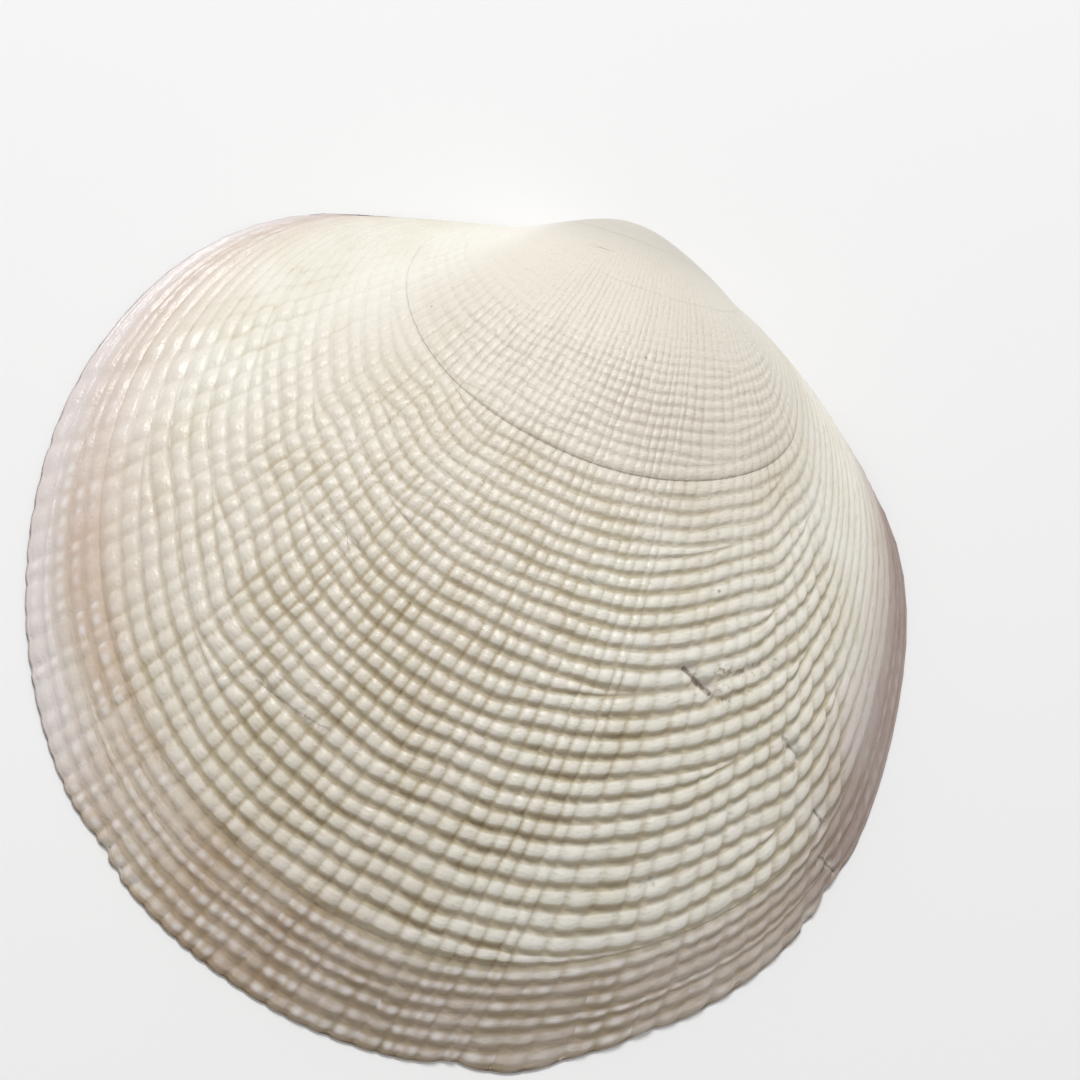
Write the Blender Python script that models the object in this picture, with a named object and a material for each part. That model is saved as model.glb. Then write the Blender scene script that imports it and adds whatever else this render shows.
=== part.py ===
"""Cockle shell: one valve of a round, lattice-ribbed shell, lying dome up on its flat rim.

The outside is the path of the rim as it grew. Going back in age the rim shrinks and turns over towards the beak,
so a line of equal age is a growth cord and a line of equal angle is a rib. +X runs along the hinge towards the
valve's back end, +Y towards the beak, and the rim lies in the plane z = 0.
"""

import bmesh
import bpy
import numpy as np
from mathutils import Vector
from mathutils.bvhtree import BVHTree

# The rim, in metres, measured from the coil's own origin
RIM_RADIUS = 0.0382
RIM_CENTRE = (-0.01345, -0.03423)
RIM_DROP = 0.0065
RIM_WAVES = {2: (0.060, -0.044), 3: (0.043, 0.039), 4: (-0.016, 0.033), 5: (-0.018, 0.0), 6: (-0.006, -0.004)}

# How the rim turned as it grew: radians for each unit of age, and for its square
BEAK = (-0.0024, 0.0043, 0.0071)
COIL = (0.8225, -0.073)
LEAN = 0.141
SWING = (-0.119, 0.105)
OLDEST = 3.3
HINGE_GAP = 0.0002

# The lattice: grooves at equal steps of cord count and of angle, and a bead raised in each cell between them
CORDS = 35
CORD_RATE = (45.0, -6.5)
RIB_STEP = np.radians(4.8)
RIBBED = (-41, 1)
PLAIN_COLUMNS = 14
BEAD_HEIGHT = 0.0004
GROOVE_DEPTH = 0.00012

# Growth stops: the age of each, and how far the older shell stands proud of the newer
GROWTH_STOPS = ((0.105, 0.00022), (0.77, 0.0003))
STOP_FADE = 0.12

# Worn edge: a thin lobe at the bottom of the rim, with a bite beside it
LOBES = ((-78, 6, 0.0006), (-87, 2.5, -0.0004), (-60, 3, -0.0003), (-143, 4, -0.0004), (-28, 4, -0.0005))

# Inside: the hinge plate ends at a straight line, given by its direction and distance from the rim's centre
WALL = 0.0018
RIM_WIDTH = 0.0019
HINGE_ANGLE = np.radians(76)
HINGE_REACH = 0.0271
HINGE_BLEND = 0.0012
INNER_COLUMNS = 48
INNER_RINGS = 9

# Sockets in the hinge plate, with the teeth standing between them: place along and across it, length, width, turn
SOCKET_DEPTH = 0.0012
SOCKETS = {
    "ligament_groove": (-0.0115, 0.0031, 0.0130, 0.0013, -3),
    "back_tooth_socket": (-0.0015, 0.0020, 0.0032, 0.0011, 62),
    "front_tooth_socket": (0.0012, 0.0022, 0.0032, 0.0010, 108),
    "side_tooth_socket": (0.0130, 0.0030, 0.0060, 0.0014, 8),
}

SHELL_COLOUR = (0.78, 0.75, 0.69, 1.0)


def turned(axis, angle):
    """Matrices for a turn about X, Y or Z, one for each angle."""
    c, s = np.cos(angle), np.sin(angle)
    one, nil = np.ones_like(c), np.zeros_like(c)
    rows = {
        "X": [[one, nil, nil], [nil, c, -s], [nil, s, c]],
        "Y": [[c, nil, s], [nil, one, nil], [-s, nil, c]],
        "Z": [[c, -s, nil], [s, c, nil], [nil, nil, one]],
    }[axis]
    return np.moveaxis(np.array(rows), (0, 1), (-2, -1))


def rim_radius(angle):
    waves = sum(a * np.cos(k * angle) + b * np.sin(k * angle) for k, (a, b) in RIM_WAVES.items())
    return RIM_RADIUS * (1 + waves)


def grown(age, angle):
    """Points of the smooth outside, for arrays of age and angle of one shape."""
    radius = rim_radius(angle)
    flat = [RIM_CENTRE[0] + radius * np.cos(angle), RIM_CENTRE[1] + radius * np.sin(angle), RIM_DROP + 0 * angle]
    size = np.exp(-age)[..., None]
    coil = turned("X", -(COIL[0] * age + COIL[1] * age**2))
    lean = turned("Y", LEAN * age)
    swing = turned("Z", -(SWING[0] * age + SWING[1] * age**2))
    rim = np.einsum("...ij,...j->...i", swing @ lean @ coil, np.stack(flat, -1))
    return size * rim + (1 - size) * np.array(BEAK) - np.array([0, 0, RIM_DROP])


def outward(age, angle):
    """Unit normals of the smooth outside."""
    along = grown(age, angle + 1e-3) - grown(age, angle - 1e-3)
    back = grown(age + 1e-3, angle) - grown(age - 1e-3, angle)
    normal = np.cross(along, back)
    return normal / np.linalg.norm(normal, axis=-1, keepdims=True)


def row_ages():
    """One row on each cord, two at each growth stop, and wider steps over the worn beak."""
    rate, slowing = CORD_RATE
    cords = [(-rate + np.sqrt(rate**2 + 4 * slowing * k)) / (2 * slowing) for k in range(CORDS + 1)]
    for stop, _ in GROWTH_STOPS:
        nearest = min(cords, key=lambda age: abs(age - stop))
        cords.remove(nearest)
        cords += [stop - 0.004, stop + 0.004]
    cords.sort()
    beak = np.linspace(cords[-1], OLDEST, 13)[1:]
    return np.array(cords + list(beak)), len(cords) - 1


def column_angles():
    """A column on each rib of the front, and wider steps along the hinge side."""
    ribs = RIB_STEP * np.arange(RIBBED[0], RIBBED[1] + 1)
    rest = np.linspace(ribs[-1], ribs[0] + 2 * np.pi, PLAIN_COLUMNS + 1)[1:-1]
    return np.concatenate([ribs, rest]), len(ribs) - 1


def lobe_reach(angle):
    """How far the worn rim reaches past its smooth outline."""
    reach = np.zeros_like(angle)
    for middle, spread, height in LOBES:
        reach += height * np.exp(-(((np.degrees(angle) - middle) / spread) ** 2))
    return reach


def build_outside():
    """A closed dome, the grown outside over a flat floor at z = 0, and the tree of its faces before the beads."""
    ages, last_cord = row_ages()
    angles, last_rib = column_angles()
    age, angle = np.meshgrid(ages, angles, indexing="ij")
    points = grown(age, angle)
    raised = np.zeros_like(age)
    for stop, height in GROWTH_STOPS:
        raised += np.where(age > stop, height * np.exp(-(age - stop) / STOP_FADE), 0)
    grooved = (age > 0) & (age < ages[last_cord]) & (angle < angles[last_rib])
    raised -= np.where(grooved, GROOVE_DEPTH * np.exp(-age), 0)
    points += raised[..., None] * outward(age, angle)
    away = np.stack([np.cos(angles), np.sin(angles), 0 * angles], -1)
    points[0] += lobe_reach(angles)[:, None] * away
    points[0, :, 2] = 0
    points[1:, :, 2] = np.maximum(points[1:, :, 2], HINGE_GAP)

    bm = bmesh.new()
    rings = [[bm.verts.new(p) for p in ring] for ring in points]
    columns = len(angles)
    cells = []
    for row in range(len(rings) - 1):
        for column in range(columns):
            after = (column + 1) % columns
            corners = (rings[row][column], rings[row][after], rings[row + 1][after], rings[row + 1][column])
            face = bm.faces.new(corners)
            if row < last_cord and column < last_rib:
                cells.append((row, face))
    bm.faces.new(rings[-1])
    bm.faces.new(rings[0][::-1])
    tree = BVHTree.FromBMesh(bm)
    stops = [stop for stop, _ in GROWTH_STOPS]
    for row in range(last_cord):
        if any(abs(ages[row] + 0.004 - stop) < 1e-6 for stop in stops):
            continue
        height = BEAD_HEIGHT * np.exp(-ages[row]) * (0.6 if ages[row] < stops[0] else 1)
        faces = [face for r, face in cells if r == row]
        bmesh.ops.poke(bm, faces=faces, offset=height, center_mode="MEAN")
    bmesh.ops.recalc_face_normals(bm, faces=bm.faces)
    return bm, tree


def inner_reach(angle):
    """How far the hollow reaches from the rim's centre: to the rim, or to the hinge plate, whichever is nearer."""
    to_rim = rim_radius(angle) - RIM_WIDTH
    to_hinge = HINGE_REACH / np.maximum(np.cos(angle - HINGE_ANGLE), 0.2)
    return -HINGE_BLEND * np.log(np.exp(-to_rim / HINGE_BLEND) + np.exp(-to_hinge / HINGE_BLEND))


def build_cavity(tree):
    """The hollow under the dome, from just below the rim's plane up to the wall's inner face."""
    angles = np.linspace(0, 2 * np.pi, INNER_COLUMNS, endpoint=False)
    reach = inner_reach(angles)
    shares = np.sin(np.linspace(0.5, 0.06, INNER_RINGS) * np.pi)
    bm = bmesh.new()

    def ring(share, height=None):
        made = []
        for angle, radius in zip(angles, reach):
            x = RIM_CENTRE[0] + share * radius * np.cos(angle)
            y = RIM_CENTRE[1] + share * radius * np.sin(angle)
            z = height
            if z is None:
                top = tree.ray_cast(Vector((x, y, 0.1)), Vector((0, 0, -1)))[0].z
                z = max(top - WALL, 0.0002)
            made.append(bm.verts.new((x, y, z)))
        return made

    rings = [ring(1, -0.001), ring(1, 0.0002)] + [ring(share) for share in shares[1:]]
    for lower, upper in zip(rings, rings[1:]):
        for i in range(INNER_COLUMNS):
            j = (i + 1) % INNER_COLUMNS
            bm.faces.new((lower[i], lower[j], upper[j], upper[i]))
    bm.faces.new(rings[0][::-1])
    middle = tree.ray_cast(Vector((*RIM_CENTRE, 0.1)), Vector((0, 0, -1)))[0]
    peak = bm.verts.new((middle.x, middle.y, middle.z - WALL))
    for i in range(INNER_COLUMNS):
        bm.faces.new((rings[-1][i], rings[-1][(i + 1) % INNER_COLUMNS], peak))
    bmesh.ops.recalc_face_normals(bm, faces=bm.faces)
    return bm


def as_object(bm, name, collection):
    mesh = bpy.data.meshes.new(name)
    bm.to_mesh(mesh)
    bm.free()
    made = bpy.data.objects.new(name, mesh)
    collection.objects.link(made)
    return made


def build_socket(name, along, across, length, width, turn, collection):
    """A socket's cutter: a block that narrows as it goes up into the hinge plate."""
    bm = bmesh.new()
    bmesh.ops.create_cube(bm, size=1)
    for v in bm.verts:
        v.co.x *= length * (0.8 if v.co.z > 0 else 1)
        v.co.y *= width * (0.6 if v.co.z > 0 else 1)
        v.co.z *= 2 * SOCKET_DEPTH
    made = as_object(bm, name, collection)
    out = Vector((np.cos(HINGE_ANGLE), np.sin(HINGE_ANGLE), 0))
    side = Vector((-out.y, out.x, 0))
    made.location = Vector((*RIM_CENTRE, 0)) + (HINGE_REACH + across) * out + along * side
    made.rotation_euler.z = HINGE_ANGLE + np.radians(90 + turn)
    return made


def cut(target, cutter):
    cutter.hide_render = True
    cutter.display_type = "WIRE"
    modifier = target.modifiers.new(cutter.name, "BOOLEAN")
    modifier.operation = "DIFFERENCE"
    modifier.object = cutter


def new_collection(name):
    made = bpy.data.collections.new(name)
    bpy.context.scene.collection.children.link(made)
    return made


def shell_material():
    material = bpy.data.materials.new("Shell")
    material.use_nodes = True
    shader = material.node_tree.nodes["Principled BSDF"]
    shader.inputs["Base Color"].default_value = SHELL_COLOUR
    shader.inputs["Roughness"].default_value = 0.45
    shader.inputs["Metallic"].default_value = 0.0
    return material


def build():
    for old in list(bpy.data.objects):
        bpy.data.objects.remove(old, do_unlink=True)
    shell = new_collection("cockle_shell")
    cutters = new_collection("cutters")
    outside, tree = build_outside()
    cavity = as_object(build_cavity(tree), "cavity", cutters)
    valve = as_object(outside, "valve", shell)
    corners = np.array([v.co for v in valve.data.vertices])
    middle = (corners.min(0) + corners.max(0)) / 2
    valve.data.materials.append(shell_material())
    valve.data.set_sharp_from_angle(angle=np.radians(20))
    hollows = [cavity] + [build_socket(name, *place, cutters) for name, place in SOCKETS.items()]
    for hollow in hollows:
        cut(valve, hollow)
    for made in [valve] + hollows:
        made.location -= Vector((middle[0], middle[1], 0))


build()
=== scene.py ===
import bmesh
import bpy
import numpy as np
from mathutils import Matrix, Vector
from mathutils.bvhtree import BVHTree


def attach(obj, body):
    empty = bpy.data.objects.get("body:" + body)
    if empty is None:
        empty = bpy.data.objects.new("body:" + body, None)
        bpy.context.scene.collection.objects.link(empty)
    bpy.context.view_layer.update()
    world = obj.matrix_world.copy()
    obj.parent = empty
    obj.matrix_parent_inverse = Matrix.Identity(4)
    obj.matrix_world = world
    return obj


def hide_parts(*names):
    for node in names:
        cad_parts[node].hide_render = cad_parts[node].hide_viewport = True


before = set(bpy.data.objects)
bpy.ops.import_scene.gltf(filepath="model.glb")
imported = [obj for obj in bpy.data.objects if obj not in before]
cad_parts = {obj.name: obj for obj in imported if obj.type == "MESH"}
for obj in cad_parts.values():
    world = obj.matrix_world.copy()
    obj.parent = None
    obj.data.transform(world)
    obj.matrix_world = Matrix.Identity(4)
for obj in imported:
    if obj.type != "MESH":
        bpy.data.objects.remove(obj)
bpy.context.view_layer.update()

millimetre = 0.001

# the path of the rim as the shell grew, the same as the solid's
growth = {
    "rimRadius": 0.0382,
    "rimCentre": (-0.01345, -0.03423),
    "rimDrop": 0.0065,
    "rimWaves": {
        2: (0.060, -0.044), 3: (0.043, 0.039), 4: (-0.016, 0.033), 5: (-0.018, 0.0), 6: (-0.006, -0.004),
    },
    "beak": (-0.0024, 0.0043, 0.0071),
    "coil": (0.8225, -0.073),
    "lean": 0.141,
    "swing": (-0.119, 0.105),
    "oldest": 3.3,
    "hingeGap": 0.0002,
    "place": (0.0124, 0.0328, 0.0),
}


def turned(axis, angle):
    c, s = np.cos(angle), np.sin(angle)
    one, nil = np.ones_like(c), np.zeros_like(c)
    rows = {
        "X": [[one, nil, nil], [nil, c, -s], [nil, s, c]],
        "Y": [[c, nil, s], [nil, one, nil], [-s, nil, c]],
        "Z": [[c, -s, nil], [s, c, nil], [nil, nil, one]],
    }[axis]
    return np.moveaxis(np.array(rows), (0, 1), (-2, -1))


def rimRadius(angle):
    waves = sum(a * np.cos(k * angle) + b * np.sin(k * angle) for k, (a, b) in growth["rimWaves"].items())
    return growth["rimRadius"] * (1 + waves)


def grown(age, angle):
    # points of the smooth outside. Age 0 is the rim, and older shell is smaller and turned over to the beak
    radius = rimRadius(angle)
    x = growth["rimCentre"][0] + radius * np.cos(angle)
    y = growth["rimCentre"][1] + radius * np.sin(angle)
    flat = np.stack([x, y, growth["rimDrop"] + 0 * angle], -1)
    size = np.exp(-age)[..., None]
    coil = turned("X", -(growth["coil"][0] * age + growth["coil"][1] * age**2))
    lean = turned("Y", growth["lean"] * age)
    swing = turned("Z", -(growth["swing"][0] * age + growth["swing"][1] * age**2))
    rim = np.einsum("...ij,...j->...i", swing @ lean @ coil, flat)
    middle = np.array(growth["beak"])
    return size * rim + (1 - size) * middle + np.array(growth["place"]) - np.array([0, 0, growth["rimDrop"]])


def outward(age, angle):
    along = grown(age, angle + 1e-3) - grown(age, angle - 1e-3)
    back = grown(age + 1e-3, angle) - grown(age - 1e-3, angle)
    normal = np.cross(along, back)
    return normal / np.linalg.norm(normal, axis=-1, keepdims=True)


def ease(value, low, high):
    share = np.clip((value - low) / (high - low), 0, 1)
    return share * share * (3 - 2 * share)


def drift(x, y, seed):
    # smooth unevenness from -1 to 1, one swing to each unit of x and y
    side = 257
    dice = np.random.default_rng(seed).uniform(-1, 1, (side, side))
    x, y = np.broadcast_arrays(np.asarray(x, float), np.asarray(y, float))
    left, low = np.floor(x).astype(int), np.floor(y).astype(int)
    fx, fy = x - left, y - low
    fx, fy = fx * fx * (3 - 2 * fx), fy * fy * (3 - 2 * fy)
    a, b, c, d = (dice[(left + i) % side, (low + j) % side] for i in (0, 1) for j in (0, 1))
    return (a * (1 - fy) + b * fy) * (1 - fx) + (c * (1 - fy) + d * fy) * fx


# growth cords (lines of one age) and ribs (nearly lines of one angle). Angles are in degrees round the rim:
# -90 is the far edge from the beak, 0 the side that the beak leans away from, and -180 the side it leans to
lattice = {
    # each run of cords lies between two ages. Its counts are the cords met at an angle; the rest pinch out.
    # Its rows and columns are the places of vertices in a cord and in a rib, and plainStep is the degrees
    # between columns along the hinge side
    "runs": (
        {
            "from": 0.0, "to": 0.105, "widen": 0.0, "plainStep": 4.2,
            "counts": (
                (-200, 4), (-165, 5), (-145, 6.4), (-120, 6.6), (-85, 6.4), (-60, 5), (-38, 5), (-20, 3),
            ),
            "rows": (0, 0.16, 0.36, 0.62, 0.84), "columns": (0, 0.13, 0.37, 0.63, 0.87),
        },
        {
            "from": 0.105, "to": 0.77, "widen": 0.36, "plainStep": 4.2,
            "counts": (
                (-200, 17), (-185, 18.5), (-170, 21.5), (-155, 24.5), (-140, 26.8), (-100, 26.8), (-92, 25.4),
                (-80, 24.4), (-65, 23.6), (-50, 21.8), (-35, 18.6), (-22, 16),
            ),
            "rows": (0, 0.12, 0.25, 0.38, 0.62, 0.84), "columns": (0, 0.13, 0.37, 0.63, 0.87),
        },
        {
            "from": 0.77, "to": 1.35, "widen": 0.25, "plainStep": 4.2,
            "counts": (
                (-200, 11), (-185, 12), (-170, 13), (-155, 15.8), (-140, 18.6), (-125, 19.8), (-95, 19.4),
                (-80, 18), (-65, 17), (-50, 15), (-35, 14), (-22, 12),
            ),
            "rows": (0, 0.2, 0.45, 0.74), "columns": (0, 0.2, 0.5, 0.8),
        },
        {
            "from": 1.35, "to": 1.75, "widen": 0.3, "plainStep": 8,
            "counts": ((-200, 9), (-130, 11), (-70, 11), (-22, 8)),
            "rows": (0, 0.25, 0.6), "columns": (0, 0.3, 0.7),
        },
    ),
    # the smooth beak behind the last run: rows up to an age, and then on to the oldest shell
    "beak": {"columns": (0, 0.5), "plainStep": 8, "rows": (16, 9), "turnsAt": 2.5},
    "pinchedWidth": 0.04,           # what is left of the width of a cord that has pinched out
    "cordWander": (0.14, 0.05),                # how far a cord's edge sways, in wide swings and in short ones
    "cordProfile": (0.10, 0.36, 0.62, 1.0),    # where it starts to rise, is high, starts to fall and is low
    "cordHeight": (0.25, 0.19),     # as a share of the cord's own width: along the far edge, and on the left
    "reliefByAge": (
        (0, 0.6), (0.08, 0.6), (0.13, 0.95), (0.28, 1.0), (0.45, 0.9), (0.62, 0.65), (0.8, 0.5), (1.3, 0.45),
        (3.3, 0.3),
    ),
    "ribCut": (0.72, 0.74),         # how much of a cord's height each rib groove takes away
    "ribCutMore": (0.14, 0.22, 0.42),    # how much more on the left in older shell, between two ages
    "ribHeight": (0.08, 0.12),
    "ribWidth": (0.16, 0.19),
    "ribsPerDegree": (
        (-270, 0.16), (-205, 0.21), (-190, 0.25), (-176, 0.29), (-161, 0.34), (-146, 0.36), (-131, 0.36),
        (-115, 0.35), (-101, 0.29), (-95.5, 0.35), (-86, 0.36), (-82, 0.20), (-68, 0.21), (-52, 0.26),
        (-35, 0.22), (-15, 0.20), (90, 0.16),
    ),
    # how far a rib swings round the rim for each unit of age, in degrees
    "ribLean": (
        (-270, 0), (-215, 8), (-190, 11), (-160, 13), (-125, 12.5), (-95, 10), (-75, 7), (-55, 5), (-35, 1),
        (-10, 0), (90, 0),
    ),
    "leanUntil": 1.05,              # the ribs lean on little further in older shell
    "leanFade": 0.25,
    "ribJitter": 0.13,
    "ribShift": 0.14,               # how far a rib groove strays from cord to cord, as a share of a rib
    "ribbed": (-212, -8),
    "cordsEnd": (0.98, 1.22),       # the ages between which the cords die out towards the beak, and the ribs
    "ribsEnd": (1.4, 1.85),
    "ribsEndLeft": (0.98, 1.15),
    "beadUneven": 0.22,
    "swell": 0.06,                  # wide unevenness, in millimetres
    "scallop": (0.13, 0.025),       # scallops of the edge, in millimetres, and the age where they fade
    "stopHeights": (0.04, 0.03),    # how far the older shell stands proud at each growth stop, in millimetres
    "stopFade": 0.06,
    "crackDepth": (0.02, 0.02),
    "stopGap": 0.0045,              # the cords end this far before a growth stop, and rows close to it
    "stopRows": ((0.0034, 0.94), (0.0019, 0.98), (0.0004, 0.999)),    # make its crack
    "stopStep": 0.0004,
}
stopAges = [run["to"] for run in lattice["runs"][:2]]

# nicks, chips and scratches, each from one (age, angle) to another, with width and depth in millimetres
damage = {
    "longChip": ((0.447, -68.3), (0.396, -60.7), 0.55, 0.42),
    "roughPatch": ((0.431, -60.7), (0.393, -43.2), 0.9, 0.16),
    "rightCrack": ((0.285, -42.0), (0.234, -37.6), 0.35, 0.35),
    "hookChip": ((0.139, -32.8), (0.104, -30.8), 0.45, 0.30),
    "rimSlit": ((0.069, -31.2), (0.015, -26.4), 0.30, 0.35),
    "rimNotch": ((0.021, -33.1), (0.000, -33.6), 0.55, 0.35),
    "wormPit": ((0.180, -66.3), (0.178, -66.0), 0.45, 0.30),
    "leftSlit": ((0.009, -135.4), (0.012, -133.5), 0.35, 0.35),
    "leftNotchA": ((0.004, -141.8), (0.0, -141.5), 0.5, 0.35),
    "leftNotchB": ((0.004, -138.7), (0.0, -138.5), 0.5, 0.30),
    "upperScratch": ((0.437, -151.0), (0.444, -142.0), 0.35, 0.12),
    "lowerScratch": ((0.237, -141.8), (0.256, -127.1), 0.5, 0.14),
    "middleNick": ((0.574, -95.6), (0.570, -94.0), 0.4, 0.16),
    "capLine": ((1.514, -141.6), (1.533, -126.9), 0.16, 0.10),
    "pitA": ((1.069, -95.7), (1.069, -95.5), 0.28, 0.14),
    "pitB": ((0.834, -177.1), (0.834, -177.0), 0.28, 0.14),
    "pitC": ((0.558, -62.5), (0.557, -62.3), 0.32, 0.14),
}


def follow(pairs, value):
    # a value read between the (place, value) pairs on either side
    at, given = np.array(pairs, float).T
    return np.interp(value, at, given)


def ribGrooves():
    # the places of the grooves between ribs at the rim, closer where the ribs are finer
    fine = np.linspace(-270, 90, 3601)
    count = np.concatenate([[0], np.cumsum(follow(lattice["ribsPerDegree"], fine[1:]) * np.diff(fine))])
    whole = np.arange(int(count[-1]) + 1)
    jitter = np.random.default_rng(5).uniform(-1, 1, len(whole)) * lattice["ribJitter"]
    return np.interp(whole + jitter, count, fine)


grooveAngles = ribGrooves()


def ribAngle(place, age):
    # the angle in degrees that a rib reaches at an age, from its place at the rim
    until, fade = lattice["leanUntil"], lattice["leanFade"]
    late = np.maximum(age - until, 0)
    leaning = np.minimum(age, until) + fade * (1 - np.exp(-late / fade))
    return place + follow(lattice["ribLean"], place) * leaning


def columnPlaces(shares, plainStep):
    # columns at the same shares of each rib, and even ones along the hinge side
    low, high = lattice["ribbed"]
    inRange = [a for a in grooveAngles if low <= a <= high]
    ribs = [a + (b - a) * share for a, b in zip(inRange, inRange[1:]) for share in shares] + [inRange[-1]]
    before = np.linspace(-270, inRange[0], int((inRange[0] + 270) / plainStep) + 1)[:-1]
    after = np.linspace(inRange[-1], 90, int((90 - inRange[-1]) / plainStep) + 1)[1:-1]
    return np.concatenate([before, ribs, after])


def cordRows(number, places):
    # the rows of one run of cords. For each row and column: its age, its count of cords, the share that its
    # cord still has of its full width, which drops where the cord pinches out, and that width
    run = lattice["runs"][number]
    most = int(max(count for _, count in run["counts"]))
    k = np.arange(most)
    met = follow(run["counts"], places)
    golden = 0.618034
    rankLeft, rankRight = (most * ((k * golden + shift + number * 0.37) % 1) for shift in (0.11, 0.57))
    rank = np.where(places[None] < -100, rankLeft[:, None], rankRight[:, None])
    exist = ease(met[None] - rank, -1.4, 1.8)
    width = (1 + run["widen"] * k / most)[:, None] * np.maximum(exist, lattice["pinchedWidth"])
    edges = np.vstack([np.zeros(len(places)), np.cumsum(width, 0) / width.sum(0)])
    wide, narrow = lattice["cordWander"]
    rib = np.interp(places, grooveAngles, np.arange(len(grooveAngles)))
    line = np.arange(most + 1)[:, None] + 40 * number
    sway = wide * drift(places[None] / 11, line * 0.31, 11) + narrow * drift(rib[None] * 0.9, line * 0.83, 12)
    hold = np.minimum(np.arange(most + 1), most - np.arange(most + 1))[:, None] > 0
    room = np.vstack([width[:1], np.minimum(width[:-1], width[1:]), width[-1:]]) / width.sum(0)
    edges = edges + sway * room * hold
    ages, counts, shares, widths = [], [], [], []
    span = run["to"] - run["from"] - (lattice["stopGap"] if run["to"] in stopAges else 0)
    for cord in range(most):
        for share in run["rows"]:
            at = edges[cord] + (edges[cord + 1] - edges[cord]) * share
            ages.append(run["from"] + span * at)
            counts.append(np.full(len(places), cord + share + 40 * number))
            shares.append(exist[cord])
            widths.append(span * (edges[cord + 1] - edges[cord]))
    return [np.array(rows) for rows in (ages, counts, shares, widths)]


def scaleAt(age, degrees):
    # millimetres of surface in one unit of age, and in one degree round the rim
    step = 1e-3
    age, angle = np.array([age]), np.array([np.radians(degrees)])
    here = grown(age, angle)
    perAge = np.linalg.norm(grown(age + step, angle) - here) / step / millimetre
    perDegree = np.linalg.norm(grown(age, angle + step) - here) / step / millimetre * np.pi / 180
    return float(perAge), float(perDegree)


def lineDistance(age, degrees, start, end):
    # distance in millimetres from a line between two (age, angle) places, measured flat on the shell
    perAge, perDegree = scaleAt((start[0] + end[0]) / 2, (start[1] + end[1]) / 2)
    x, y = (age - start[0]) * perAge, (degrees - start[1]) * perDegree
    ex, ey = (end[0] - start[0]) * perAge, (end[1] - start[1]) * perDegree
    share = np.clip((x * ex + y * ey) / max(ex * ex + ey * ey, 1e-9), 0, 1)
    return np.hypot(x - share * ex, y - share * ey)


def ornament(age, places, cordCount, exist, cordWidth):
    # heights in metres above the smooth outside, and the values that the finish reads
    angle = np.radians(ribAngle(places[None], age))
    degrees = np.degrees(angle)
    place = cordCount % 1
    low, high, crest, foot = lattice["cordProfile"]
    cord = ease(place, low, high) * (1 - ease(place, crest, foot)) * ease(exist, 0.08, 0.75)

    rib = np.interp(places, grooveAngles, np.arange(len(grooveAngles)))[None] + 0 * age
    rib = rib + lattice["ribShift"] * drift(rib * 0.7, np.floor(cordCount) * 1.37, 37)
    toGroove = np.abs(rib - np.round(rib))
    left = 1 - ease(degrees, -140, -105)
    ribWidth, cordHeight, ribHeight, ribCut = (
        lattice[key][0] * (1 - left) + lattice[key][1] * left
        for key in ("ribWidth", "cordHeight", "ribHeight", "ribCut")
    )
    more, young, old = lattice["ribCutMore"]
    ribCut = ribCut + more * ease(age, young, old) * left
    depth = np.clip(0.9 + 0.4 * drift(np.round(rib) * 3.7, age * 14, 31), 0.3, 1.2)
    ribbed = 1 - depth * np.exp(-((toGroove / ribWidth) ** 2))

    # the cords die out before the ribs do towards the beak, and on the left both end at once
    cordsLast = 1 - 0.92 * ease(age, *lattice["cordsEnd"])
    endOnLeft = (1 - ease(degrees, -150, -128)) * ease(age, *lattice["ribsEndLeft"])
    ribsLast = (1 - 0.9 * ease(age, *lattice["ribsEnd"])) * (1 - 0.85 * endOnLeft)
    ribFade = ease(degrees, -240, -198) * (1 - ease(degrees, -30, -8)) * ribsLast
    cordFade = (0.7 + 0.3 * ease(degrees, -205, -150)) * (1 - 0.6 * ease(degrees, -34, -8)) * cordsLast
    hinge = ease(degrees, -262, -225) * (1 - ease(degrees, 15, 60))
    relief = follow(lattice["reliefByAge"], age)

    # the shell's own scale at each point: how many millimetres of surface lie in one unit of age
    step = 1e-3
    perAge = np.linalg.norm(grown(age + step, angle) - grown(age, angle), axis=-1) / step / millimetre
    cordSpan = np.clip(cordWidth * perAge / np.maximum(exist, 0.3), 0, 1.6)
    uneven = 1 + lattice["beadUneven"] * drift(cordCount * 1.1, rib * 1.1, 33)
    size = np.exp(-0.9 * age)
    across = cordHeight * cordSpan * cordFade * relief * uneven * (0.25 + 0.75 * hinge)
    height = across * cord * (1 - ribCut * ribFade * (1 - ribbed))
    height += ribHeight * (1 + 1.6 * ease(age, 0.68, 0.9)) * size * ribbed * ribFade * relief * uneven
    height += lattice["swell"] * drift(degrees / 9, age * 9, 35) * size * hinge
    scallop, fadeAge = lattice["scallop"]
    height += scallop * np.exp(-age / fadeAge) * ribbed * ribFade * hinge

    for stop, proud, crack in zip(stopAges, lattice["stopHeights"], lattice["crackDepth"]):
        older = age > stop
        height += np.where(older, proud * np.exp(-(age - stop) / lattice["stopFade"]), 0) * hinge
        height -= np.where(older, 0, crack * ease(age, stop - 0.0032, stop - 0.0018)) * hinge

    chip = np.zeros_like(age)
    for start, end, width, deep in damage.values():
        near = np.exp(-((lineDistance(age, degrees, start, end) / width) ** 4))
        height -= deep * near
        chip = np.maximum(chip, near * min(1, deep / 0.3))

    values = {
        "age": age,
        "degrees": degrees,
        "cord": cordCount,
        "exist": exist,
        "rib": rib,
        "ribFade": ribFade * depth,
        "cordFade": cordFade * (0.25 + 0.75 * hinge),
        "chip": chip,
    }
    return angle, height * millimetre, values


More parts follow.
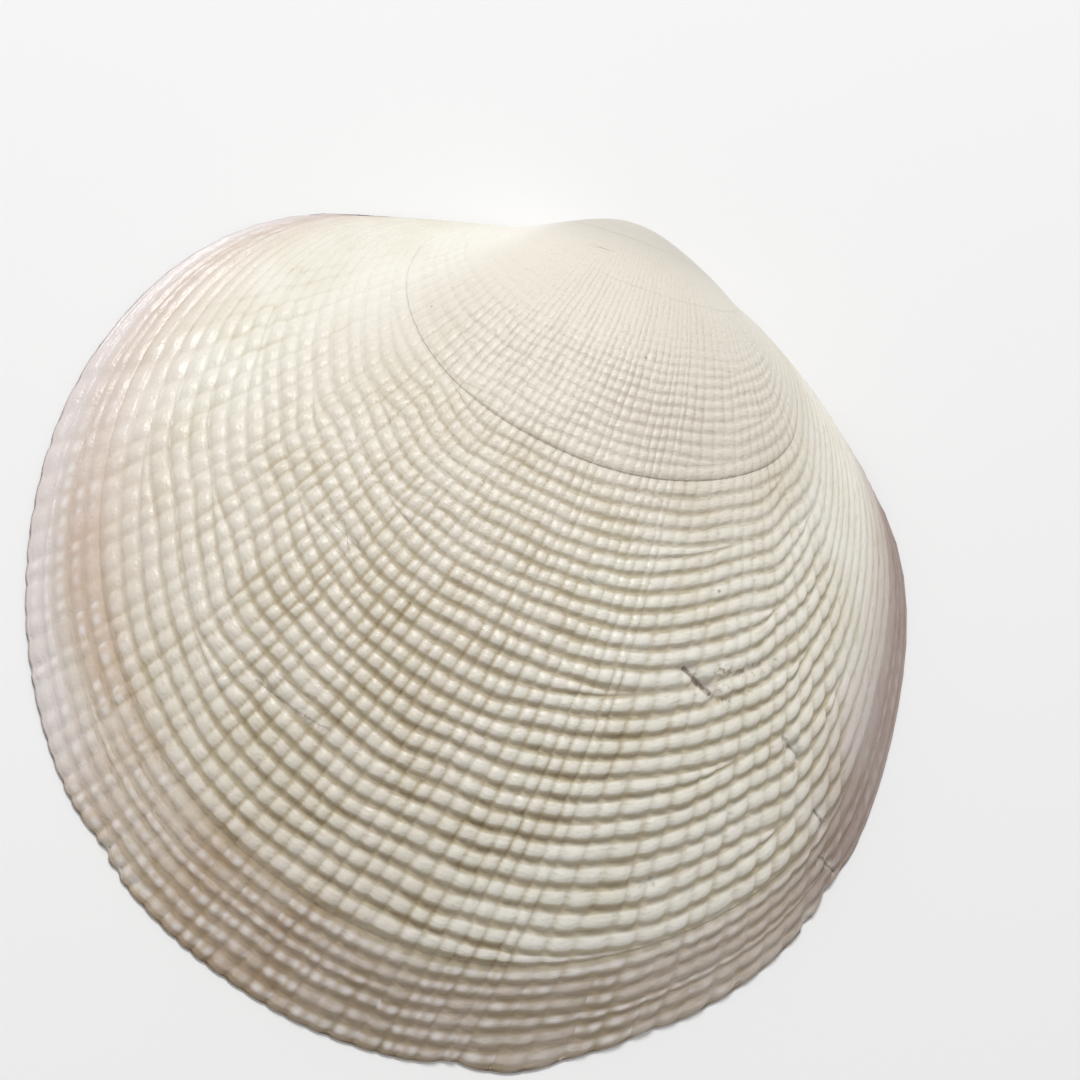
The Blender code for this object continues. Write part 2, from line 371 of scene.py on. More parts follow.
valve = {
    "wall": 0.0018,
    "bevel": 0.00045,
    "rimWidth": 0.0019,
    "hingeAngle": 76,
    "hingeReach": 0.0271,
    "hingeBlend": 0.0012,
    "socketDepth": 0.0012,
    # sockets in the hinge plate: place along and across it, length, width, turn in degrees
    "sockets": (
        (-0.0115, 0.0031, 0.0130, 0.0013, -3),
        (-0.0015, 0.0020, 0.0032, 0.0011, 62),
        (0.0012, 0.0022, 0.0032, 0.0010, 108),
        (0.0130, 0.0030, 0.0060, 0.0014, 8),
    ),
    # worn lobes and bites of the edge: angle, spread in degrees, reach in millimetres
    "lobes": ((-78, 6, 0.6), (-87, 2.5, -0.4), (-60, 3, -0.3), (-143, 4, -0.4), (-28, 4, -0.5)),
    # muscle scars in the hollow: share of the way out, angle, half width as a share, half length in degrees
    "scars": {"front": (0.80, -205, 0.075, 24), "back": (0.80, 12, 0.10, 15)},
    "scarDepth": 0.00018,
    "innerColumns": (124, 84),      # columns of vertices round the front and along the hinge
    "hingeFromTo": (-5, 157),       # the angles between which the hinge's columns lie
    "plateRings": 13,
    "innerRings": 30,
    "thinnest": 0.0002,
    "crenate": (0.00022, 0.0011),   # the rim's fine notches: height, and how far in they reach
    "unevenInside": 0.00006,
}


def edgeReach(degrees):
    # how far the worn edge stands out or in, in metres
    return sum(h * np.exp(-(((degrees - m) / s) ** 2)) for m, s, h in valve["lobes"]) * millimetre


def innerReach(angle):
    toRim = rimRadius(angle) - valve["rimWidth"]
    toHinge = valve["hingeReach"] / np.maximum(np.cos(angle - np.radians(valve["hingeAngle"])), 0.2)
    blend = valve["hingeBlend"]
    return -blend * np.log(np.exp(-toRim / blend) + np.exp(-toHinge / blend))


def runPoints(ages, places, counts, exist, widths):
    angle, height, values = ornament(ages, places, counts, exist, widths)
    points = grown(ages, angle) + height[..., None] * outward(ages, angle)
    away = np.stack([np.cos(angle), np.sin(angle), 0 * angle], -1)
    points += (np.exp(-ages / 0.012) * edgeReach(np.degrees(angle)))[..., None] * away
    points[..., 2] = np.maximum(points[..., 2], growth["hingeGap"])
    return points, values


def outsideRuns():
    # (places, ages, cord counts, exist, widths) of each run of rows, from the rim to the beak
    for number, run in enumerate(lattice["runs"]):
        places = columnPlaces(run["columns"], run["plainStep"])
        rows = cordRows(number, places)
        if run["to"] in stopAges:
            lastCord = np.floor(rows[1][-1:])
            for gap, share in lattice["stopRows"]:
                age = np.full((1, len(places)), run["to"] - gap)
                last = (age, lastCord + share, rows[2][-1:], rows[3][-1:])
                rows = [np.vstack([r, extra]) for r, extra in zip(rows, last)]
        if run["from"] in stopAges:
            rows[0][0] += lattice["stopStep"]
        yield (places, *rows)
    beak, start = lattice["beak"], lattice["runs"][-1]["to"]
    places = columnPlaces(beak["columns"], beak["plainStep"])
    close, wide = beak["rows"]
    ages = np.linspace(start, beak["turnsAt"], close)
    ages = np.append(ages, np.linspace(beak["turnsAt"], growth["oldest"], wide)[1:])[:, None] + 0 * places
    yield places, ages, 200 + 0 * ages, 1 + 0 * ages, 0.02 + 0 * ages


def bridge(bm, lower, upper, lowerAngles, upperAngles, material):
    # joins two rings of any two counts of vertices, going round both at once
    i = j = 0
    n, m = len(lower), len(upper)
    while i < n or j < m:
        nextLow = lowerAngles[i + 1] if i + 1 < n else lowerAngles[0] + 2 * np.pi
        nextUp = upperAngles[j + 1] if j + 1 < m else upperAngles[0] + 2 * np.pi
        together = i < n and j < m and abs(nextLow - nextUp) < 1e-7
        a, b = lower[i % n], upper[j % m]
        if together:
            corners = (a, lower[(i + 1) % n], upper[(j + 1) % m], b)
            i, j = i + 1, j + 1
        elif j >= m or (i < n and nextLow < nextUp):
            corners = (a, lower[(i + 1) % n], b)
            i += 1
        else:
            corners = (a, upper[(j + 1) % m], b)
            j += 1
        bm.faces.new(corners).material_index = material


def smoothTree():
    # the smooth outside without ornament, to set the wall's inner face below it
    ages = np.linspace(0, growth["oldest"], 150)
    angles = np.linspace(-np.pi, np.pi, 180, endpoint=False)
    age, angle = np.meshgrid(ages, angles, indexing="ij")
    points = grown(age, angle)
    bm = bmesh.new()
    rings = [[bm.verts.new(p) for p in ring] for ring in points]
    for lower, upper in zip(rings, rings[1:]):
        for i in range(len(angles)):
            j = (i + 1) % len(angles)
            bm.faces.new((lower[i], lower[j], upper[j], upper[i]))
    bm.faces.new(rings[-1])
    tree = BVHTree.FromBMesh(bm)
    bm.free()
    return tree


def insideRings():
    # the flat rim, the hinge plate with its sockets, and the hollow, from the edge in to the middle
    front, back = valve["innerColumns"]
    split = np.radians(valve["hingeFromTo"])
    angles = np.concatenate([
        np.linspace(split[1] - 2 * np.pi, split[0], front, endpoint=False),
        np.linspace(split[0], split[1], back, endpoint=False),
    ])
    angles = np.sort((angles + 1.5 * np.pi) % (2 * np.pi) - 1.5 * np.pi)
    centre = np.array(growth["rimCentre"]) + np.array(growth["place"][:2])
    edge, reach = rimRadius(angles), innerReach(angles)
    away = np.stack([np.cos(angles), np.sin(angles)], -1)
    tree = smoothTree()
    rib = np.interp(np.degrees(angles), grooveAngles, np.arange(len(grooveAngles)))
    crenate = 0.5 - 0.5 * np.cos(2 * np.pi * rib)
    rings = []
    start = edge - valve["bevel"]
    notch, notchReach = valve["crenate"]
    for share in np.linspace(0, 1, valve["plateRings"]):          # the plate, out to in
        radius = start + (reach - start) * share + edgeReach(np.degrees(angles)) * (1 - share)
        flat = centre + radius[:, None] * away
        z = np.zeros(len(angles))
        if share < 0.999:
            z += socketDepth(flat, centre)
        z += notch * (1 - crenate) * np.exp(-((edge - radius) / notchReach) ** 2) * (reach > edge - 0.003)
        rings.append((np.column_stack([flat, z]), radius / reach))
    for share in np.sin(np.linspace(0.5, 0.0, valve["innerRings"]) * np.pi)[1:-1]:
        flat = centre + (share * reach)[:, None] * away
        z = []
        for x, y in flat:
            top = tree.ray_cast(Vector((x, y, 0.1)), Vector((0, 0, -1)))[0].z
            z.append(max(top - valve["wall"], valve["thinnest"]))
        z = np.array(z)
        z += valve["scarDepth"] * scarMark(share, np.degrees(angles))
        z += valve["unevenInside"] * ease(share, 0.45, 0.9) * drift(np.degrees(angles) / 5, share * 9, 41)
        rings.append((np.column_stack([flat, z]), share + 0 * angles))
    top = tree.ray_cast(Vector((*centre, 0.1)), Vector((0, 0, -1)))[0].z
    return angles, rings, np.array([*centre, top - valve["wall"]])


def scarMark(share, degrees):
    mark = 0 * degrees
    for out, turn, wide, long in valve["scars"].values():
        mark = np.maximum(mark, 1 - ease(np.hypot((share - out) / wide, (degrees - turn) / long), 0.75, 1.1))
    return mark


def socketDepth(flat, centre):
    turn = np.radians(valve["hingeAngle"])
    out = np.array([np.cos(turn), np.sin(turn)])
    side = np.array([-out[1], out[0]])
    depth = np.zeros(len(flat))
    for along, across, length, width, tilt in valve["sockets"]:
        middle = centre + (valve["hingeReach"] + across) * out + along * side
        a = np.radians(tilt)
        x = (flat - middle) @ (side * np.cos(a) - out * np.sin(a))
        y = (flat - middle) @ (side * np.sin(a) + out * np.cos(a))
        within = 1 - ease(np.abs(x), length * 0.36, length * 0.52)
        within = within * (1 - ease(np.abs(y), width * 0.25, width * 0.6))
        depth = np.maximum(depth, within * valve["socketDepth"])
    return depth


def buildValve():
    bm = bmesh.new()
    names = ("age", "degrees", "cord", "exist", "rib", "ribFade", "cordFade", "chip", "inward", "scar")
    layers = {name: bm.verts.layers.float.new(name) for name in names}
    lastRing = outerRing = None
    for places, ages, counts, exist, widths in outsideRuns():
        points, values = runPoints(ages, places, counts, exist, widths)
        for r in range(len(ages)):
            ring = []
            for c in range(len(places)):
                vert = bm.verts.new(points[r, c])
                for name, layer in values.items():
                    vert[layers[name]] = layer[r, c]
                ring.append(vert)
            if lastRing is None:
                outerRing, outerAngles = ring, np.radians(places)
            else:
                bridge(bm, lastRing, ring, lastAngles, np.radians(places), 0)
            lastRing, lastAngles = ring, np.radians(places)
    bm.faces.new(lastRing).material_index = 0
    outside = len(bm.faces)

    angles, rings, peak = insideRings()
    lastRing, lastAngles = outerRing, outerAngles
    for points, share in rings:
        ring = []
        for c, point in enumerate(points):
            vert = bm.verts.new(point)
            vert[layers["degrees"]] = np.degrees(angles[c])
            vert[layers["inward"]] = share[c]
            vert[layers["scar"]] = scarMark(share[c], np.degrees(angles[c]))
            vert[layers["exist"]] = 1
            ring.append(vert)
        bridge(bm, ring, lastRing, angles, lastAngles, 0 if lastRing is outerRing else 1)
        lastRing, lastAngles = ring, angles
    middle = bm.verts.new(peak)
    for a, b in zip(lastRing, lastRing[1:] + lastRing[:1]):
        bm.faces.new((b, a, middle)).material_index = 1
    bmesh.ops.recalc_face_normals(bm, faces=bm.faces)
    for face in bm.faces:
        face.smooth = True
    mesh = bpy.data.meshes.new("shellValve")
    bm.to_mesh(mesh)
    triangles = sum(len(p.vertices) - 2 for p in mesh.polygons)
    bm.free()
    made = bpy.data.objects.new("shellValve", mesh)
    bpy.context.scene.collection.objects.link(made)
    print("valve built:", triangles, "triangles,", outside, "faces outside")
    return made


def addNode(tree, kind, inputs=None, **settings):
    node = tree.nodes.new(kind)
    for key, value in settings.items():
        setattr(node, key, value)
    for key, value in (inputs or {}).items():
        if isinstance(value, bpy.types.NodeSocket):
            tree.links.new(value, node.inputs[key])
        else:
            node.inputs[key].default_value = value
    return node


def maths(tree, operation, a, b=0.0, c=0.0, clamp=False):
    inputs = {0: a, 1: b, 2: c}
    return addNode(tree, "ShaderNodeMath", inputs, operation=operation, use_clamp=clamp).outputs[0]


def product(tree, first, *others):
    for other in others:
        first = maths(tree, "MULTIPLY", first, other)
    return first


def noise(tree, vector, scale, detail, roughness):
    inputs = {"Vector": vector, "Scale": scale, "Detail": detail, "Roughness": roughness}
    return addNode(tree, "ShaderNodeTexNoise", inputs).outputs["Fac"]


def flatPlace(tree, x, y):
    return addNode(tree, "ShaderNodeCombineXYZ", {"X": x, "Y": y}).outputs[0]


def spread(tree, value, low, high, toLow=0.0, toHigh=1.0):
    inputs = {"Value": value, "From Min": low, "From Max": high, "To Min": toLow, "To Max": toHigh}
    return addNode(tree, "ShaderNodeMapRange", inputs, interpolation_type="SMOOTHSTEP").outputs["Result"]


def blend(tree, share, a, b, mode="MIX"):
    node = addNode(tree, "ShaderNodeMix", data_type="RGBA", blend_type=mode, clamp_factor=True)
    for socket, value in ((node.inputs[0], share), (node.inputs[6], a), (node.inputs[7], b)):
        if isinstance(value, bpy.types.NodeSocket):
            tree.links.new(value, socket)
        else:
            socket.default_value = value
    return node.outputs[2]


def shellValue(tree, name):
    return addNode(tree, "ShaderNodeAttribute", attribute_name=name, attribute_type="GEOMETRY").outputs["Fac"]


def newGroup(name, inputs, outputs):
    group = bpy.data.node_groups.new(name, "ShaderNodeTree")
    for socket, kind, value in inputs:
        made = group.interface.new_socket(socket, in_out="INPUT", socket_type=kind)
        if value is not None:
            made.default_value = value
    for socket, kind in outputs:
        group.interface.new_socket(socket, in_out="OUTPUT", socket_type=kind)
    return group, group.nodes.new("NodeGroupInput"), group.nodes.new("NodeGroupOutput")


def colour(red, green, blue):
    # a screen colour from 0 to 255 as Blender's linear values
    out = []
    for value in (red, green, blue):
        v = value / 255
        out.append(v / 12.92 if v <= 0.04045 else ((v + 0.055) / 1.055) ** 2.4)
    return (*out, 1.0)


def makeGrainGroup():
    # fine chalky grain with tiny pits, for every shell surface
    group, given, result = newGroup(
        "chalkGrain",
        (("Fineness", "NodeSocketFloat", 1.0), ("Pits", "NodeSocketFloat", 0.5)),
        (("Grain", "NodeSocketFloat"), ("Patches", "NodeSocketFloat")),
    )
    place = group.nodes.new("ShaderNodeTexCoord").outputs["Object"]
    scale = maths(group, "MULTIPLY", given.outputs["Fineness"], 2600.0)
    fine = noise(group, place, scale, 2.0, 0.6)
    cells = addNode(group, "ShaderNodeTexVoronoi", {"Vector": place, "Scale": 900.0, "Randomness": 1.0})
    pit = spread(group, cells.outputs["Distance"], 0.05, 0.22)
    pit = maths(group, "MULTIPLY", maths(group, "SUBTRACT", 1.0, pit), given.outputs["Pits"])
    group.links.new(maths(group, "SUBTRACT", fine, pit), result.inputs["Grain"])
    group.links.new(noise(group, place, 160.0, 3.0, 0.55), result.inputs["Patches"])
    return group


def makeLineGroup():
    # a dark line from one (age, angle) place on the shell to another, a little ragged, in millimetres
    names = (
        "Age", "Degrees", "Stray", "From Age", "From Degrees", "Per Age", "Per Degree",
        "Along X", "Along Y", "Width",
    )
    group, given, result = newGroup(
        "crackLine", [(name, "NodeSocketFloat", 0.0) for name in names], (("Mask", "NodeSocketFloat"),)
    )
    x = maths(group, "SUBTRACT", given.outputs["Age"], given.outputs["From Age"])
    x = maths(group, "MULTIPLY", x, given.outputs["Per Age"])
    y = maths(group, "SUBTRACT", given.outputs["Degrees"], given.outputs["From Degrees"])
    y = maths(group, "MULTIPLY", y, given.outputs["Per Degree"])
    stray = given.outputs["Stray"]
    x, y = maths(group, "ADD", x, stray), maths(group, "SUBTRACT", y, stray)
    alongX, alongY = given.outputs["Along X"], given.outputs["Along Y"]
    whole = maths(group, "MULTIPLY_ADD", alongX, alongX, maths(group, "MULTIPLY_ADD", alongY, alongY, 0.0001))
    share = maths(group, "MULTIPLY_ADD", x, alongX, maths(group, "MULTIPLY", y, alongY))
    share = maths(group, "DIVIDE", share, whole, clamp=True)
    x = maths(group, "SUBTRACT", x, maths(group, "MULTIPLY", share, alongX))
    y = maths(group, "SUBTRACT", y, maths(group, "MULTIPLY", share, alongY))
    away = maths(group, "SQRT", maths(group, "MULTIPLY_ADD", x, x, maths(group, "MULTIPLY", y, y)))
    thin = maths(group, "MULTIPLY", given.outputs["Width"], 0.25)
    mask = addNode(
        group, "ShaderNodeMapRange", {"Value": away, "From Min": given.outputs["Width"], "From Max": thin},
        interpolation_type="SMOOTHSTEP",
    )
    group.links.new(mask.outputs["Result"], result.inputs["Mask"])
    return group


chalkGrain = makeGrainGroup()
crackLine = makeLineGroup()

# thin dark lines and specks: from one (age, angle) to another, width in millimetres and darkness
fineLines = {
    "chipEdge": ((0.447, -68.3), (0.402, -61.6), 0.32, 0.85),
    "rightSlit": ((0.287, -42.2), (0.232, -37.4), 0.20, 0.5),
    "hook": ((0.141, -33.0), (0.104, -30.8), 0.22, 0.75),
    "hookFoot": ((0.104, -30.8), (0.112, -29.2), 0.16, 0.6),
    "rimSlitLine": ((0.069, -31.2), (0.012, -26.4), 0.18, 0.7),
    "worm": ((0.182, -66.4), (0.177, -65.9), 0.35, 0.45),
    "lowerScratchLine": ((0.237, -141.8), (0.256, -127.1), 0.14, 0.4),
    "lowerScratchBeside": ((0.262, -139.5), (0.268, -133.0), 0.10, 0.3),
    "upperScratchA": ((0.437, -151.0), (0.444, -142.0), 0.10, 0.3),
    "upperScratchB": ((0.455, -149.0), (0.430, -143.5), 0.09, 0.3),
    "middleLine": ((0.576, -96.0), (0.569, -93.5), 0.14, 0.4),
    "capCrack": ((1.514, -141.6), (1.533, -126.9), 0.08, 0.45),
    "speckA": ((1.069, -95.7), (1.069, -95.5), 0.18, 0.6),
    "speckB": ((0.834, -177.1), (0.834, -177.0), 0.18, 0.6),
    "speckC": ((0.558, -62.5), (0.557, -62.3), 0.2, 0.6),
}
# worn strokes broken up into crumbs
roughStrokes = {
    "patch": ((0.433, -60.5), (0.398, -43.5), 0.75, 0.85),
    "patchBelow": ((0.408, -59.5), (0.385, -52.0), 0.6, 0.5),
    "chipFlake": ((0.395, -61.0), (0.380, -57.0), 0.5, 0.7),
    "rightFlake": ((0.262, -43.5), (0.215, -38.0), 0.6, 0.5),
    "lowerScratch": ((0.237, -141.8), (0.256, -127.1), 0.7, 0.35),
    "upperScratch": ((0.445, -151.0), (0.440, -141.5), 0.8, 0.3),
    "ringStain": ((0.742, -90.0), (0.730, -82.0), 0.9, 0.35),
}


def drawLine(tree, age, degrees, stray, start, end, width):
    perAge, perDegree = scaleAt((start[0] + end[0]) / 2, (start[1] + end[1]) / 2)
    inputs = {
        "Age": age, "Degrees": degrees, "Stray": stray, "From Age": start[0], "From Degrees": start[1],
        "Per Age": perAge, "Per Degree": perDegree,
        "Along X": (end[0] - start[0]) * perAge, "Along Y": (end[1] - start[1]) * perDegree, "Width": width,
    }
    node = tree.nodes.new("ShaderNodeGroup")
    node.node_tree = crackLine
    for key, value in inputs.items():
        if isinstance(value, bpy.types.NodeSocket):
            tree.links.new(value, node.inputs[key])
        else:
            node.inputs[key].default_value = value
    return node.outputs["Mask"]


outsideFinish = {
    "bead": colour(243, 239, 228),
    # slope and groove: grime in the grooves, and painted shade on the cords' steep rim-facing sides and in
    # the grooves, where shade falls
    "slope": colour(205, 193, 168),
    "groove": colour(152, 132, 100),
    "olderSlope": colour(211, 203, 190),
    "olderGroove": colour(178, 164, 142),
    # dark brown of cracks, chips and specks, also of the line at each growth stop, which is partly painted
    # shadow under the older shell's lip
    "crack": colour(112, 92, 66),
    "flake": colour(236, 231, 219),
    "band": colour(217, 207, 203),
    "pink": colour(240, 224, 226),
    "mauve": colour(206, 192, 198),
    "olive": colour(226, 219, 188),
    "cap": colour(213, 209, 199),
    "shade": colour(246, 243, 240),
    "warm": colour(248, 235, 228),
    "edge": colour(246, 240, 242),
    "glint": colour(243, 237, 234),
    "roughness": (0.42, 0.72),
    "grooveReach": (0.34, -0.07, 0.12),    # how far the grime and painted shade reach up a cord from its groove: in all, on the left, in the band
    "cordGrimeAndShade": (0.56, -0.16, -0.10, -0.09),    # in all, on the left, above the ring, where ribs are strong
    "ribGrimeAndShade": (0.22, 0.05, 0.30, 0.17),
    "ringCrackAndShadow": (0.10, 0.5),
}

# where each tone lies. Every line is a fade of the age or of the angle, from its first number to its second,
# and a third and a fourth number are its strengths there in place of 0 and 1
regions = {
    "onLeft": (("degrees", -105.0, -150.0),),
    "youngBand": (("age", 0.115, 0.085),),
    "aboveRing": (("age", 0.70, 0.80),),
    "strongRibs": (("age", 0.22, 0.42), ("age", 0.80, 0.72), ("degrees", -85.0, -110.0)),
    # how strong the grooves' grime and painted shade are, by age and by angle
    "grimeAndShadeLasts": (
        ("age", 0.28, 0.72, 1.0, 0.46), ("age", 1.0, 1.6, 1.0, 0.35), ("age", 0.085, 0.115, 0.62, 1.0),
        ("degrees", -190.0, -122.0, 0.38, 1.0), ("degrees", -90.0, -50.0, 1.0, 0.64),
    ),
    "leftMargin": (("degrees", -135.0, -160.0), ("age", 0.25, 0.08)),
    "striped": (("degrees", -185.0, -150.0),),
    "olive": (("age", 0.7, 0.95, 1.0, 0.2),),
    "cap": (("age", 1.3, 1.9),),
    "shadeOlder": (("age", 0.55, 0.75),),
    "shadeFront": (("degrees", -85.0, -115.0),),
    "shadeEnds": (("degrees", -200.0, -172.0),),
    "leftEdge": (("degrees", -150.0, -185.0), ("age", 0.30, 0.05)),
    "warmZone": (
        ("age", 0.045, 0.075), ("age", 0.14, 0.10), ("degrees", -140.0, -158.0),
        ("degrees", -205.0, -175.0, 0.2, 1.0),
    ),
    "lowLeft": (("degrees", -100.0, -122.0), ("degrees", -165.0, -148.0), ("age", 0.15, 0.07)),
    "wornEdge": (("age", 0.06, 0.02), ("degrees", -138.0, -160.0, 0.0, 0.6)),
    "rightEdge": (("degrees", -45.0, -20.0), ("age", 0.32, 0.06)),
    "paintedGlintTops": (("degrees", -60.0, -40.0, 1.0, 0.25), ("age", 0.15, 0.10)),
    "bandTone": (("age", 0.125, 0.07), ("degrees", -150.0, -95.0, 0.3, 1.0)),
    "ringCrackAndShadowArea": (("degrees", -30.0, -45.0), ("degrees", -150.0, -100.0, 0.45, 1.0)),
}


def outsideMaterial():
    material = bpy.data.materials.new("weatheredOutside")
    material.use_nodes = True
    tree = material.node_tree
    shader = tree.nodes["Principled BSDF"]
    read = {name: shellValue(tree, name) for name in ("age", "degrees", "cord", "rib", "exist", "chip")}
    age, degrees, cord, rib = (read[name] for name in ("age", "degrees", "cord", "rib"))
    grain = addNode(tree, "ShaderNodeGroup", {}, node_tree=chalkGrain)
    patches = grain.outputs["Patches"]
    place = tree.nodes.new("ShaderNodeTexCoord").outputs["Object"]

    def region(name):
        return product(tree, *(spread(tree, read[what], *fade) for what, *fade in regions[name]))

    def reachOf(shares, *masks):
        # the first share, with each mask's own share added where it lies
        total = shares[0]
        for share, mask in zip(shares[1:], masks):
            total = maths(tree, "MULTIPLY_ADD", mask, share, total)
        return total

    def tone(base, share, name, mode="MIX"):
        return blend(tree, share, base, outsideFinish[name], mode)

    # how near each point is to the groove between cords and to the groove between ribs
    fromCordGroove = maths(tree, "PINGPONG", maths(tree, "SUBTRACT", cord, lattice["cordProfile"][0]), 0.5)
    fromRibGroove = maths(tree, "PINGPONG", rib, 0.5)
    cell = flatPlace(tree, maths(tree, "FLOOR", cord), maths(tree, "FLOOR", rib))
    bead = addNode(tree, "ShaderNodeTexWhiteNoise", {"Vector": cell}, noise_dimensions="2D").outputs["Value"]
    onLeft, youngBand, above = region("onLeft"), region("youngBand"), region("aboveRing")
    strongRibs = region("strongRibs")
    reach = reachOf(outsideFinish["grooveReach"], onLeft, youngBand)
    cordLine = spread(tree, fromCordGroove, reach, maths(tree, "MULTIPLY_ADD", youngBand, 0.12, 0.06))
    pinched = maths(tree, "MULTIPLY", spread(tree, read["exist"], 0.45, 0.1), 0.8)
    cordLine = maths(tree, "MAXIMUM", cordLine, pinched)
    ribLine = spread(tree, fromRibGroove, maths(tree, "MULTIPLY_ADD", onLeft, 0.02, 0.25), 0.0)
    # grime in the grooves between cords and ribs, and painted shade: darkest in the grooves and up each
    # cord's steep rim-facing side, where shade falls
    cordGrimeAndShade = maths(tree, "MULTIPLY", cordLine, shellValue(tree, "cordFade"))
    ribGrimeAndShade = maths(tree, "MULTIPLY", ribLine, shellValue(tree, "ribFade"))
    cordShare = reachOf(outsideFinish["cordGrimeAndShade"], onLeft, above, strongRibs)
    ribShare = reachOf(outsideFinish["ribGrimeAndShade"], onLeft, above, strongRibs)
    grimeAndShade = maths(tree, "MULTIPLY_ADD", cordGrimeAndShade, cordShare, maths(tree, "MULTIPLY", ribGrimeAndShade, ribShare))
    grimeAndShade = maths(tree, "MULTIPLY_ADD", product(tree, cordGrimeAndShade, ribGrimeAndShade), -0.12, grimeAndShade, clamp=True)
    fainterOnMargin = maths(tree, "MULTIPLY_ADD", region("leftMargin"), -0.3, 1.0)
    uneven = spread(tree, bead, 0.0, 1.0, 0.8, 1.15)
    uneven = maths(tree, "MULTIPLY", uneven, spread(tree, patches, 0.25, 0.7, 0.65, 1.15))
    grimeAndShade = maths(tree, "MULTIPLY", product(tree, grimeAndShade, region("grimeAndShadeLasts"), fainterOnMargin), uneven, clamp=True)

    # fine growth lines along the cords
    alongCord = flatPlace(tree, maths(tree, "MULTIPLY", cord, 5.0), maths(tree, "MULTIPLY", rib, 1.5))
    striae = noise(tree, alongCord, 1.0, 2.0, 0.6)
    streaks = product(tree, spread(tree, striae, 0.45, 0.75, 0.0, 0.16), region("striped"))
    grimeAndShade = maths(tree, "ADD", grimeAndShade, streaks, clamp=True)
    slope = blend(tree, above, outsideFinish["slope"], outsideFinish["olderSlope"])
    groove = blend(tree, above, outsideFinish["groove"], outsideFinish["olderGroove"])
    base = blend(tree, spread(tree, grimeAndShade, 0.0, 0.4), outsideFinish["bead"], slope)
    base = blend(tree, spread(tree, grimeAndShade, 0.35, 0.95), base, groove)
    base = blend(tree, spread(tree, grain.outputs["Grain"], 0.25, 0.6, 0.10, 0.0), base, slope)
    tint = product(tree, spread(tree, patches, 0.35, 0.7), region("olive"), 0.22)
    base = tone(base, tint, "olive", "MULTIPLY")
    base = tone(base, region("cap"), "cap")
    shaded = maths(tree, "MAXIMUM", region("shadeOlder"), region("shadeFront"))
    base = tone(base, product(tree, shaded, region("shadeEnds")), "shade", "MULTIPLY")
    leftEdge = region("leftEdge")
    base = tone(base, maths(tree, "MULTIPLY", leftEdge, 0.55), "pink", "MULTIPLY")
    # a pink-brown zone just behind the worn pale margin on the left, and along the lower left
    warmth = maths(tree, "MAXIMUM", region("warmZone"), region("lowLeft"))
    base = tone(base, product(tree, warmth, spread(tree, patches, 0.3, 0.65, 0.35, 0.85)), "warm", "MULTIPLY")
    base = tone(base, region("wornEdge"), "edge")
    base = tone(base, maths(tree, "MULTIPLY", region("rightEdge"), 0.85), "mauve", "MULTIPLY")
    # painted glints: small bright highlights on the bead tops in the youngest band, finer than the ribs
    # behind it
    fineRib = maths(tree, "PINGPONG", maths(tree, "MULTIPLY", rib, 1.5), 0.5)
    top = product(
        tree, spread(tree, fromCordGroove, 0.14, 0.5), spread(tree, fineRib, 0.0, 0.46),
        spread(tree, bead, 0.1, 0.9, 0.2, 1.0), region("paintedGlintTops"), 0.75,
    )
    bandTone = region("bandTone")
    base = tone(base, bandTone, "band", "MULTIPLY")
    base = tone(base, top, "glint")
    base = tone(base, maths(tree, "MULTIPLY", read["chip"], 0.7), "flake")

    # bare crumbs and pits of the rough worn patches, the fine cracks, and a dark line at each growth stop,
    # partly a crack and partly painted shadow under the older shell's lip
    crumbs = noise(tree, place, 1500.0, 3.0, 0.7)
    crumb, broken = spread(tree, crumbs, 0.46, 0.66), spread(tree, crumbs, 0.35, 0.55, 0.45, 1.0)
    stray = maths(tree, "MULTIPLY", maths(tree, "SUBTRACT", noise(tree, place, 2200.0, 1.0, 0.65), 0.5), 0.3)
    for start, end, width, dark in roughStrokes.values():
        rough = product(tree, drawLine(tree, age, degrees, stray, start, end, width), dark, crumb)
        base = tone(base, rough, "groove")
    # a thin dark line at each growth stop, partly a crack and partly painted shadow cast by the proud older
    # shell
    for stop, weight in zip(stopAges, outsideFinish["ringCrackAndShadow"]):
        offset = maths(tree, "ABSOLUTE", maths(tree, "SUBTRACT", age, stop - 0.001))
        line = product(tree, spread(tree, offset, 0.0022, 0.0005), weight, region("ringCrackAndShadowArea"), broken)
        base = tone(base, line, "crack")
    for start, end, width, dark in fineLines.values():
        line = product(tree, drawLine(tree, age, degrees, stray, start, end, width), dark, broken)
        base = tone(base, line, "crack")
    tree.links.new(base, shader.inputs["Base Color"])

    smooth, rough = outsideFinish["roughness"]
    dull = spread(tree, grimeAndShade, 0.0, 0.8, smooth, rough)
    dull = maths(tree, "MULTIPLY_ADD", maths(tree, "MAXIMUM", leftEdge, bandTone), -0.12, dull)
    tree.links.new(maths(tree, "MULTIPLY_ADD", bead, -0.06, dull), shader.inputs["Roughness"])
    height = maths(tree, "MULTIPLY", grain.outputs["Grain"], 0.5)
    height = maths(tree, "MULTIPLY_ADD", striae, 0.7, height)
    bump = addNode(tree, "ShaderNodeBump", {"Height": height, "Strength": 0.5, "Distance": 0.00014})
    tree.links.new(bump.outputs["Normal"], shader.inputs["Normal"])
    return material


insideFinish = {
    "middle": colour(238, 228, 200),
    "ring": colour(244, 240, 228),
    "chalk": colour(236, 232, 222),
    "margin": colour(226, 212, 208),
    "scar": colour(228, 218, 194),
}


